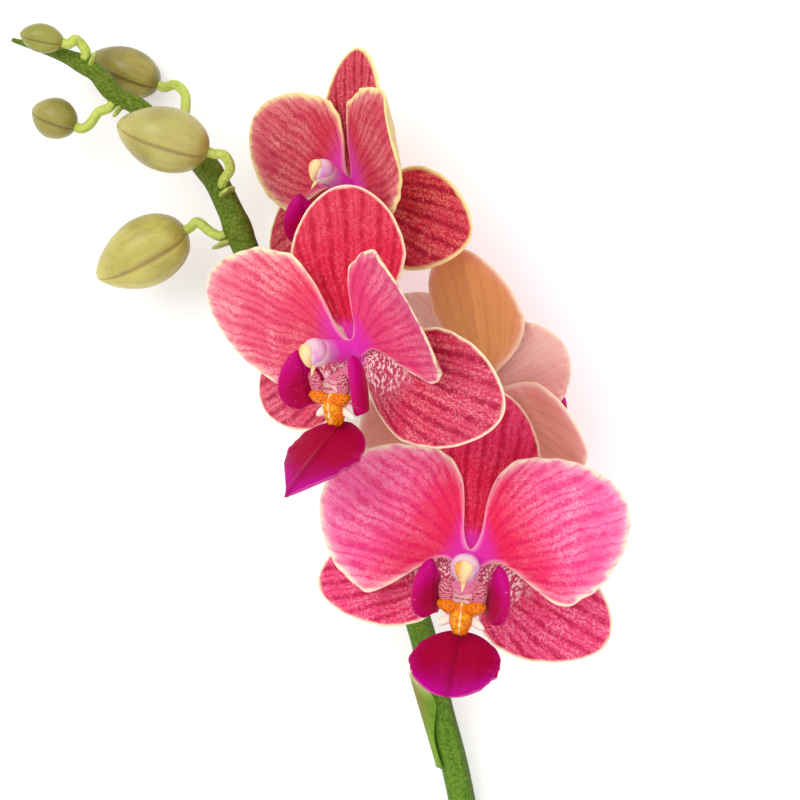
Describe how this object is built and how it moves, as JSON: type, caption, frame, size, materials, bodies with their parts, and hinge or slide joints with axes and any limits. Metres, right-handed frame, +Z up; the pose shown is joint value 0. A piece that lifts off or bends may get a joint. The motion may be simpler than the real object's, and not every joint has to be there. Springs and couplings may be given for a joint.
{
  "type": "moth orchid flower spray",
  "caption": "Cut moth orchid spray lying on its back: open striped pink-red flowers with magenta lips, and green buds, on one arching stem.",
  "frame": {"origin": "on the resting plane, under the middle of the spray's bounding box", "axes": "+Z up from the surface it lies on, the way the open flowers face; +Y from the cut end towards the buds; +X to the right of the spray seen from above"},
  "size_m": [0.1401, 0.206, 0.0824],
  "materials": {
    "sepal_red": "satin, soft living tissue",
    "petal_pink": "satin, soft living tissue",
    "lip_magenta": "waxy, slightly glossy tissue",
    "callus_yellow": "waxy, spotted",
    "column_violet": "waxy",
    "anther_cream": "waxy",
    "bud_green": "waxy",
    "stem_green": "smooth plant skin",
    "stalk_green": "smooth plant skin"
  },
  "bodies": {
    "root": {"stem": "stem_green", "sheath_bract": "stalk_green", "front_dorsal_sepal": "sepal_red", "front_lateral_sepal_right": "sepal_red", "front_lateral_sepal_left": "sepal_red", "front_petal_right": "petal_pink", "front_petal_left": "petal_pink", "front_lip": "lip_magenta", "front_callus": "callus_yellow", "front_column": "column_violet", "front_anther_cap": "anther_cream", "front_stalk": "stalk_green", "middle_dorsal_sepal": "sepal_red", "middle_lateral_sepal_right": "sepal_red", "middle_lateral_sepal_left": "sepal_red", "middle_petal_right": "petal_pink", "middle_petal_left": "petal_pink", "middle_lip": "lip_magenta", "middle_callus": "callus_yellow", "middle_column": "column_violet", "middle_anther_cap": "anther_cream", "middle_stalk": "stalk_green", "top_dorsal_sepal": "sepal_red", "top_lateral_sepal_right": "sepal_red", "top_lateral_sepal_left": "sepal_red", "top_petal_right": "petal_pink", "top_petal_left": "petal_pink", "top_lip": "lip_magenta", "top_callus": "callus_yellow", "top_column": "column_violet", "top_anther_cap": "anther_cream", "top_stalk": "stalk_green", "back_dorsal_sepal": "sepal_red", "back_lateral_sepal_right": "sepal_red", "back_lateral_sepal_left": "sepal_red", "back_petal_right": "petal_pink", "back_petal_left": "petal_pink", "back_lip": "lip_magenta", "back_callus": "callus_yellow", "back_column": "column_violet", "back_anther_cap": "anther_cream", "back_stalk": "stalk_green", "bud_1": "bud_green", "bud_1_stalk": "stalk_green", "bud_2": "bud_green", "bud_2_stalk": "stalk_green", "bud_3": "bud_green", "bud_3_stalk": "stalk_green", "bud_4": "bud_green", "bud_4_stalk": "stalk_green", "bud_5": "bud_green", "bud_5_stalk": "stalk_green"}
  },
  "joints": []
}
